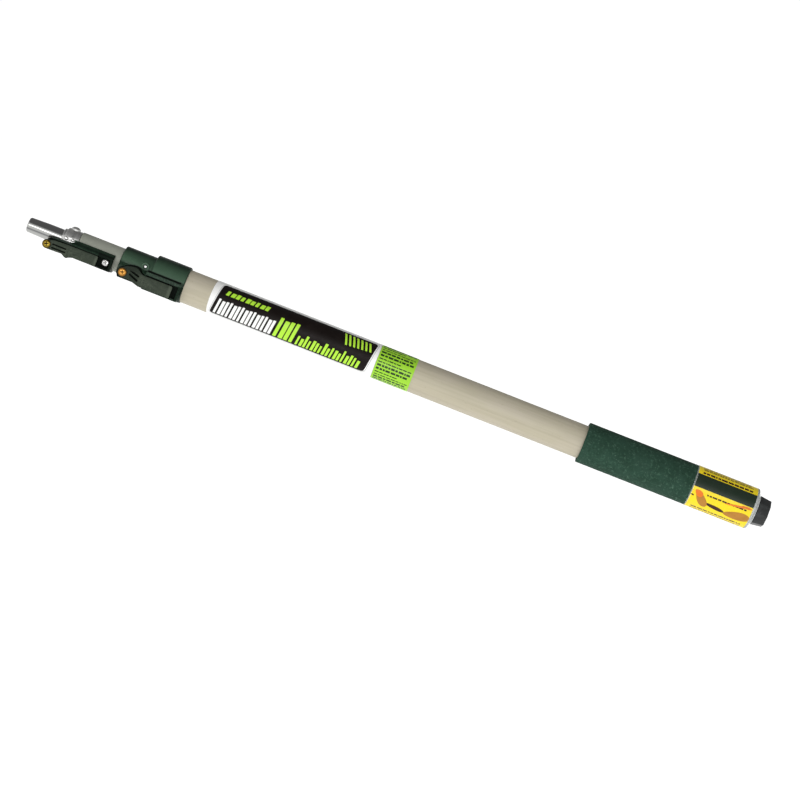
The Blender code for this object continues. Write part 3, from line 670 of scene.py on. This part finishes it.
# Labels --------------------------------------------------------------------------------

def label_base(name, low, high, radius, material, node, bulge=0.0):
    """A thin wrap. Its end towards the tip can bulge on the near side."""
    mesh = pipe(low, high, radius, radius - WRAP_THICKNESS, 0.05 * MM)
    for v in mesh.vertices:
        if abs(v.co.x - low) < 0.1 * MM:
            v.co.x -= bulge * max(0, -v.co.y / math.hypot(v.co.y, v.co.z))
    piece_from(mesh, name, material, "outer_pole", [node])


def bars(places, low, lean, radius):
    """Slanted bars from (left, right, height) triples, all standing on one line."""
    corner = 0.35 * MM
    return [wrapped(round_box(a, b, low, low + h, corner, lean), radius)
            for a, b, h in places]


def rhythm(start, end, count, share, heights):
    """Evenly pitched (left, right, height) triples. share is the inked part of a pitch,
    which varies a little, and the heights repeat."""
    pitch = (end - start) / count
    return [(start + k * pitch, start + (k + share + 0.10 * ((k * 5) % 3 - 1)) * pitch,
             heights[k % len(heights)] * MM) for k in range(count)]


def make_main_label():
    """A white wrap with a dark leaning panel and plain slanted bars in two colours."""
    label_base("main_label_film", LABEL_START - 1.4 * MM, LABEL_END, LABEL_RADIUS,
               WHITE_PRINT, "main_label", 1.6 * MM)
    left, right = LABEL_START + 0.5 * MM, LABEL_END - 8.2 * MM
    low, high, lean, corner = -16.2 * MM, 18.4 * MM, 0.15, 3.2 * MM
    surface = LABEL_RADIUS + INK_LIFT
    panel = wrapped(round_box(left, right, low, high, corner, lean), surface)
    piece_from(merged([panel], "panel"), "main_label_panel", BLACK_PRINT, "outer_pole")

    def frame_outline(gap):
        return round_box(left - gap, right + gap, low - gap, high + gap, corner + gap, lean)

    near, far = 0.8 * MM, 1.2 * MM
    line = wrapped(frame_outline(far), surface, hole=frame_outline(near))
    piece_from(merged([line], "line"), "main_label_keyline", GREY_PRINT, "outer_pole")
    make_main_label_bars(left, right - left, lean, surface + INK_THICKNESS + INK_LIFT)


def make_main_label_bars(left, length, lean, surface):
    """Bars of even pitch, and a group that leans the other way at the far corner."""
    def along(share):
        return left + share * length

    foot = -14.4 * MM
    white = rhythm(along(0.022), along(0.400), 15, 0.66, (16, 14.8, 15.4))
    lime = rhythm(along(0.408), along(0.545), 4, 0.72, (20.5, 19, 20))
    lime += rhythm(along(0.553), along(0.965), 17, 0.62, (10.5, 9, 13, 9.6, 11.5))
    lime_meshes = bars(lime, foot, lean, surface)
    small = rhythm(along(0.062), along(0.345), 9, 0.72, (5.2, 4.6))
    lime_meshes += bars(small, 6.6 * MM, 0.3, surface)
    pitch, width, corner = 3.9 * MM, 2.0 * MM, 0.4 * MM
    for k in range(7):
        start = along(0.842) + k * pitch
        outline = round_box(start, start + width, (4.2 + 0.3 * k) * MM,
                            (16.6 - 0.2 * k) * MM, corner, -0.3)
        lime_meshes.append(wrapped(outline, surface))
    piece_from(merged(bars(white, foot, lean, surface), "white"), "main_label_white_bars",
               WHITE_PRINT, "outer_pole")
    piece_from(merged(lime_meshes, "lime"), "main_label_lime_bars", LIME_PRINT, "outer_pole")


def dashes(left, right, row, height, radius, seeds, shortest=1.2 * MM, longest=5.0 * MM):
    """A row of plain blocks that stands for a line of small print."""
    made = []
    start = left
    while start < right - shortest:
        end = min(right, start + seeds.uniform(shortest, longest))
        made.append(wrapped([(end, row), (end, row + height), (start, row + height),
                             (start, row)], radius))
        start = end + seeds.uniform(0.5, 0.9) * MM
    return made


def make_instruction_label():
    """A lime wrap with rows of plain blocks all the way round."""
    label_base("instruction_label_film", NOTE_START, NOTE_END, LABEL_RADIUS, NOTE_PRINT,
               "instruction_label")
    seeds = random.Random(11)
    surface = LABEL_RADIUS + INK_LIFT
    rows = []
    seam = math.pi * LABEL_RADIUS
    margin = 3 * MM
    row = -seam + margin
    number = 0
    while row < seam - margin:
        bold = number % 4 in (1, 2)
        height = (2.0 if bold else 1.1) * MM
        end = NOTE_END - (2 if number % 4 else 12) * MM
        rows += dashes(NOTE_START + 1.5 * MM, end, row, height, surface, seeds)
        row += height + (1.5 if bold else 1.9) * MM
        number += 1
    piece_from(merged(rows, "rows"), "instruction_label_rows", INK_PRINT, "outer_pole")


def ellipse(centre, half, turn):
    """A tilted oval outline, a little fuller at one end."""
    steps, fuller = 28, 0.25
    points = []
    for k in range(steps):
        angle = math.tau * k / steps
        a = half[0] * math.cos(angle)
        b = half[1] * math.sin(angle) * (1 + fuller * math.cos(angle))
        points.append((centre[0] + a * math.cos(turn) - b * math.sin(turn),
                       centre[1] + a * math.sin(turn) + b * math.cos(turn)))
    return points


def along_band(share):
    """The X coordinate of a place on the grip label, 0 at its tip end and 1 at its butt end."""
    return BAND_START + share * (BAND_END - BAND_START)


def make_grip_label():
    """A yellow wrap with a dark band, plain blocks and abstract warm shapes, with clear film at
    its ends.
    """
    base = BAND_RADIUS - 0.12 * MM
    label_base("grip_label_base", BAND_START, BAND_END, base, YELLOW_PRINT,
               "grip_label")
    surface = base + INK_LIFT
    above_rows = surface + 0.025 * MM
    make_grip_label_print(surface)
    make_grip_label_shapes(above_rows)
    make_grip_label_film(BAND_RADIUS - 0.02 * MM)


def make_grip_label_print(surface):
    """Two dark bands along the label, rows of plain blocks and two umber ovals."""
    left, right = BAND_START + 0.01 * MM, BAND_END - 0.01 * MM
    dark = [wrapped([(right, low * MM), (right, high * MM), (left, high * MM), (left, low * MM)],
                    surface, THIN_INK) for low, high in ((1.4, 14.9), (-46, -40))]
    piece_from(merged(dark, "dark"), "grip_label_dark_band", FOREST_PRINT, "outer_pole")
    seeds = random.Random(3)
    rows = []
    short_row = -3.6
    heights = ((16.0, 2.4), (21.2, 1.2), (23.6, 1.2), (27, 1.2), (30, 1.2), (34, 1.4),
               (37, 1.4), (40, 1.4), (43, 1.4), (46, 1.4), (short_row, 1.5), (-21.6, 1.8),
               (-25.5, 1.3), (-29, 1.3), (-32, 1.3), (-35, 1.3))
    for row, height in heights:
        start = along_band(0.25 if row == short_row else 0.08)
        rows += dashes(start, along_band(0.92), row * MM, height * MM, surface, seeds,
                       1.6 * MM, 6 * MM)
    for share, up, half, turn in ((0.42, -11.9, (10.5 * MM, 2.0 * MM), -0.12),
                                  (0.03, -7.0, (1.6 * MM, 0.8 * MM), -0.2)):
        rows.append(wrapped(ellipse((along_band(share), up * MM), half, turn), surface))
    piece_from(merged(rows, "rows"), "grip_label_rows", UMBER_PRINT, "outer_pole")


def make_grip_label_shapes(surface):
    """Plain ovals: (share along the label, height, half sizes, tilt)."""
    tan = ((0.185, -8.6, (9.0 * MM, 4.0 * MM), -0.85), (0.80, -12.0, (12.6 * MM, 4.6 * MM), 0.16))
    warm = ((0.12, -3.6, (4.4 * MM, 2.8 * MM), -0.5), (0.76, -2.0, (12.5 * MM, 0.9 * MM), 0.16),
            (0.90, -0.4, (5.0 * MM, 1.1 * MM), 0.0))
    above_tan = surface + 0.012 * MM
    for name, ovals, material, radius in (("tan", tan, TAN_PRINT, surface),
                                          ("orange", warm, ORANGE_PRINT, above_tan)):
        patches = [wrapped(ellipse((along_band(share), up * MM), half, turn), radius, THIN_INK)
                   for share, up, half, turn in ovals]
        piece_from(merged(patches, name), f"grip_label_{name}_shapes", material, "outer_pole")


def make_grip_label_film(outer):
    """Clear film: a thin ring at the label's tip end and a skirt drawn in over the plug."""
    ring = pipe(BAND_START - 1.0 * MM, BAND_START + 0.5 * MM, outer, outer - FILM_THICKNESS, 0)
    piece_from(ring, "grip_label_film_edge", FILM, "outer_pole")
    outside = [(BAND_END, outer), (GRIP_END - 0.2 * MM, outer),
               (GRIP_END + 0.4 * MM, outer - MM), (GRIP_END + 0.8 * MM, 16.6 * MM),
               (GRIP_END + 2.4 * MM, 15.4 * MM)]
    profile = outside + [(x, r - SKIRT_THICKNESS) for x, r in reversed(outside)]
    piece_from(lathe(profile, closed=True, rounding=0.2 * MM), "grip_label_film_skirt",
               FILM_EDGE, "outer_pole")


# Clamps, levers and metal pieces -------------------------------------------------------

def make_refined_pieces():
    """Clamps, levers, screws and socket: the CAD shapes with their edges rounded by a
    width in millimetres, as moulded or machined ones are."""
    plan = [("lock_body", 0.45, 3, CLAMP_GREEN, "green_plastic", "outer_pole"),
            ("tip_lock_body", 0.40, 3, TIP_GREEN, "green_plastic", "inner_pole"),
            ("lock_lever", 0.40, 3, CLAMP_LEVER, "lever_plastic", "lock_lever"),
            ("tip_lock_lever", 0.40, 3, TIP_LEVER, "lever_plastic", "tip_lever"),
            ("lock_screw", 0.12, 2, BRASS, "brass", "lock_lever"),
            ("tip_lock_screw", 0.12, 2, TIP_BRASS, "brass", "tip_lever"),
            ("tip_body_screw", 0.12, 2, PLATED, "steel", "inner_pole"),
            ("tip_socket", 0.25, 2, CAST, "cast_metal", "inner_pole")]
    for node, width, segments, material, slot, body in plan:
        mesh = refined(node, width * MM, segments)
        piece_from(mesh, node + "_finished", material, body, [node])
    for node, body, slot in (("lock_screw", "lock_lever", "brass"),
                             ("tip_lock_screw", "tip_lever", "brass"),
                             ("tip_body_screw", "inner_pole", "steel")):
        # painted shade: a dark sheet at the bottom of each screw's cross recess
        piece_from(recess_shadow_patch(node), node + "_recess_shadow", SHADE_SHEET, body)


def recess_shadow_patch(node):
    """A dark sheet of painted shade at the bottom of a screw's cross recess."""
    x, z, radius = SCREWS[node]
    face = span(node, 1)[0]
    near_depth, far_depth = 0.25 * MM, 0.45 * MM
    arm, half = 0.50 * radius, 0.16 * radius
    corners = [(arm, half), (half, half), (half, arm)]
    outline = []
    for quarter in range(4):
        for a, b in corners:
            for _ in range(quarter):
                a, b = -b, a
            outline.append((a, b))
    cage = bmesh.new()
    turn = math.radians(20)
    near, far = [], []
    for a, b in outline:
        across = a * math.cos(turn) - b * math.sin(turn)
        up = a * math.sin(turn) + b * math.cos(turn)
        near.append(cage.verts.new((x + across, face + near_depth, z + up)))
        far.append(cage.verts.new((x + across, face + far_depth, z + up)))
    cage.faces.new(near)
    cage.faces.new(list(reversed(far)))
    for k in range(len(near)):
        after = (k + 1) % len(near)
        cage.faces.new((near[k], far[k], far[after], near[after]))
    bmesh.ops.recalc_face_normals(cage, faces=cage.faces)
    mesh = bpy.data.meshes.new("shadow_sheet")
    cage.to_mesh(mesh)
    cage.free()
    return mesh


def make_turned_pieces():
    """The tip shaft and the button, turned finely."""
    low, high = span("tip_shaft")
    tail = span("tip_shaft", 2)[1]
    front, chamfer = SHAFT_FRONT_RADIUS, 0.8 * MM
    profile = [(high, 0), (high, tail - chamfer), (high - chamfer, tail),
               (low + SHAFT_TAPER_LENGTH, tail), (low + 1.0 * MM, front),
               (low, front - chamfer), (low, 0)]
    piece_from(lathe(profile, 128, rounding=0.4 * MM), "tip_shaft_polished", STEEL,
               "inner_pole", ["tip_shaft"])
    box_low, box_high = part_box("release_button")
    middle = (box_low + box_high) / 2
    foot = (box_high.x - box_low.x) / 2
    radius = foot - 0.35 * MM
    dome_height = 0.62 * radius
    dome = [(box_high.z - dome_height * (1 - math.cos(math.radians(a))),
             radius * math.sin(math.radians(a))) for a in range(0, 91, 9)]
    ledge = box_low.z + 1.3 * MM
    profile = dome + [(ledge, radius), (ledge, foot), (box_low.z, foot), (box_low.z, 0)]
    piece_from(lathe(profile, 72, "Z", (middle.x, 0, 0), 0.15 * MM), "release_button_dome",
               CAST, "button", ["release_button"])


def make_spring():
    """The coil under the button, wound finely."""
    low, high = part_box("button_spring")
    middle = (low + high) / 2
    wire = SPRING_WIRE
    per_turn, sides = 28, 8
    radius = (high.y - low.y) / 2 - wire - 0.05 * MM
    count = SPRING_TURNS * per_turn
    cage = bmesh.new()
    rings = []
    for i in range(count + 1):
        angle = math.tau * i / per_turn
        out = Vector((math.cos(angle), math.sin(angle), 0))
        rise = low.z + wire + (high.z - low.z - 2 * wire) * i / count
        centre = Vector((middle.x, middle.y, rise)) + radius * out
        around = [math.tau * k / sides for k in range(sides)]
        rings.append([cage.verts.new(centre + wire * math.cos(b) * out
                                     + Vector((0, 0, wire * math.sin(b)))) for b in around])
    for first, second in zip(rings, rings[1:]):
        for k in range(sides):
            cage.faces.new((first[k - 1], first[k], second[k], second[k - 1]))
    cage.faces.new(rings[0])
    cage.faces.new(list(reversed(rings[-1])))
    bmesh.ops.recalc_face_normals(cage, faces=cage.faces)
    mesh = bpy.data.meshes.new("spring")
    cage.to_mesh(mesh)
    cage.free()
    smooth(mesh)
    spring = piece_from(mesh, "button_spring_coil", PLATED, "inner_pole",
                        ["button_spring"])
    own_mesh(spring)


def dress_hidden_nodes():
    """Gives every carried-over CAD node a finished material."""
    choices = ((INSERT_BRASS, ("lock_insert", "tip_lock_insert")),
               (BUSH, ("lock_guide_bush", "lock_brake_shoe", "tip_brake_shoe",
                       "inner_rear_bush")),
               (PLATED, ("inner_bush_rivet", "lock_bush_pin", "socket_pin_front",
                         "socket_pin_rear")))
    for material, names in choices:
        for name in names:
            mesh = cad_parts[name].data
            mesh.materials.clear()
            mesh.materials.append(material)
            smooth(mesh, 35)


# Stage, light and camera ---------------------------------------------------------------

PHOTO_TILT = math.radians(21.45)
PHOTO_AZIMUTH = math.radians(0.5)
PHOTO_ELEVATION = math.radians(3.0)
DISTANCE = 2.2
FRAME_WIDTH = 0.7428  # metres that the picture spans at the pole
SHIFT_RIGHT = 0.0028
SHIFT_UP = -0.0287
SENSOR_WIDTH = 36  # millimetres
FLOOR_DROP = 0.30
FLOOR_SIZE = 30
FLOOR_GLOW = 0.78

# The surround is bright up to one height of the view direction and dim from another
BRIGHT_BELOW, DIM_ABOVE = 0.36, 0.56
BRIGHT_LEVEL, DIM_LEVEL = 1.02, 0.26

STRIP_PLACE = (TIP_X / 2, -3.2, -0.05)
STRIP_SIZE = (3.0, 0.8)
STRIP_POWER = 32


def make_camera():
    """Looks at the pole from the photograph's direction, rolled so that the pole slopes."""
    middle = Vector((TIP_X / 2, 0, 0))
    a, e = PHOTO_AZIMUTH, PHOTO_ELEVATION
    back = Vector((math.sin(a) * math.cos(e), -math.cos(a) * math.cos(e), math.sin(e)))
    turn = back.to_track_quat("Z", "Y").to_matrix().to_4x4()
    turn = turn @ Matrix.Rotation(PHOTO_TILT, 4, "Z")
    right = turn.to_3x3() @ Vector((1, 0, 0))
    up = turn.to_3x3() @ Vector((0, 1, 0))
    target = middle + right * SHIFT_RIGHT + up * SHIFT_UP
    camera = bpy.data.cameras.new("camera")
    camera.sensor_width = SENSOR_WIDTH
    camera.lens = SENSOR_WIDTH * DISTANCE / FRAME_WIDTH
    camera.clip_start = 0.01
    obj = bpy.data.objects.new("camera", camera)
    obj.matrix_world = Matrix.Translation(target + back * DISTANCE) @ turn
    bpy.context.scene.collection.objects.link(obj)
    bpy.context.scene.camera = obj


def make_floor():
    """A pale, faintly glowing sheet below the pole."""
    cage = bmesh.new()
    bmesh.ops.create_grid(cage, x_segments=8, y_segments=8, size=FLOOR_SIZE)
    mesh = bpy.data.meshes.new("floor")
    cage.to_mesh(mesh)
    cage.free()
    floor = bpy.data.objects.new("floor", mesh)
    floor.location = (TIP_X / 2, 0, -FLOOR_DROP)
    bpy.context.scene.collection.objects.link(floor)
    paper = Surface("floor_paper", (0.9, 0.9, 0.9, 1), 0.95, Specular_IOR_Level=0.0)
    paper.set("Emission Color", (1, 1, 1, 1))
    paper.set("Emission Strength", FLOOR_GLOW)
    paper.bump(paper.noise(30), 0.0001)
    mesh.materials.append(paper.material)


def make_light():
    """A white surround up to a low height, a darker ceiling and one long soft strip."""
    world = bpy.data.worlds.new("world")
    world.use_nodes = True
    tree = world.node_tree
    tree.nodes.clear()
    where = tree.nodes.new("ShaderNodeTexCoord")
    axes = tree.nodes.new("ShaderNodeSeparateXYZ")
    fade = tree.nodes.new("ShaderNodeMapRange")
    background = tree.nodes.new("ShaderNodeBackground")
    output = tree.nodes.new("ShaderNodeOutputWorld")
    for socket, number in zip(("From Min", "From Max", "To Min", "To Max"),
                              (BRIGHT_BELOW, DIM_ABOVE, BRIGHT_LEVEL, DIM_LEVEL)):
        fade.inputs[socket].default_value = number
    background.inputs["Color"].default_value = (1, 1, 1, 1)
    tree.links.new(where.outputs["Generated"], axes.inputs[0])
    tree.links.new(axes.outputs["Z"], fade.inputs["Value"])
    tree.links.new(fade.outputs["Result"], background.inputs["Strength"])
    tree.links.new(background.outputs[0], output.inputs[0])
    bpy.context.scene.world = world
    bpy.context.scene.view_settings.view_transform = "Standard"
    light = bpy.data.lights.new("front_strip", "AREA")
    light.shape = "RECTANGLE"
    light.size, light.size_y = STRIP_SIZE
    light.energy = STRIP_POWER
    strip = bpy.data.objects.new("front_strip", light)
    strip.location = STRIP_PLACE
    aim = Vector((TIP_X / 2, 0, 0)) - Vector(STRIP_PLACE)
    strip.rotation_euler = aim.to_track_quat("-Z", "Y").to_euler()
    bpy.context.scene.collection.objects.link(strip)


make_tubes()
make_grip()
make_butt_plug()
make_main_label()
make_instruction_label()
make_grip_label()
make_refined_pieces()
make_turned_pieces()
make_spring()
dress_hidden_nodes()
make_floor()
make_light()
make_camera()
